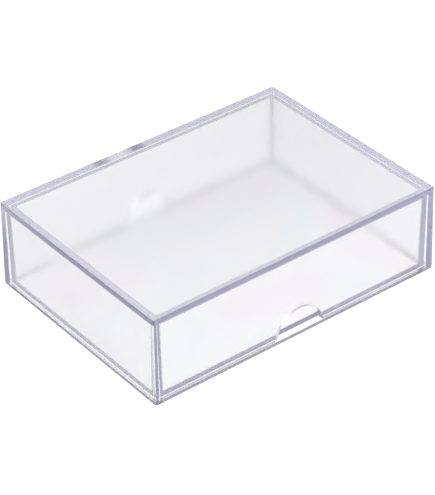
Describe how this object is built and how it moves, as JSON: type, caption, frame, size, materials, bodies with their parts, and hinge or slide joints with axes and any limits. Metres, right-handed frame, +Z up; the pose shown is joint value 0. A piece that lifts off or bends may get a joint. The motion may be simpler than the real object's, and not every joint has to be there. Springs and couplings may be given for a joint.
{
  "type": "card deck box",
  "caption": "Clear two-piece box for a deck of standard cards: a straight-sided lid with a thumb notch in each long wall drops over an open tray and rests on its flange.",
  "frame": {"origin": "middle of the underside, on the surface that the box stands on", "axes": "+X along the box, +Y across it, +Z up, the way the lid lifts"},
  "size_m": [0.0984, 0.0714, 0.0273],
  "materials": {
    "clear_tray": "polished, clear moulded polystyrene",
    "clear_lid": "polished, clear moulded polystyrene"
  },
  "bodies": {
    "tray": {"base_tray": "clear_tray"},
    "lid": {"lid_cover": "clear_lid"}
  },
  "joints": [
    {"name": "lid_lift", "type": "slide", "parent": "tray", "child": "lid", "axis": [0, 0, 1], "range_m": [0, 0.04]}
  ]
}
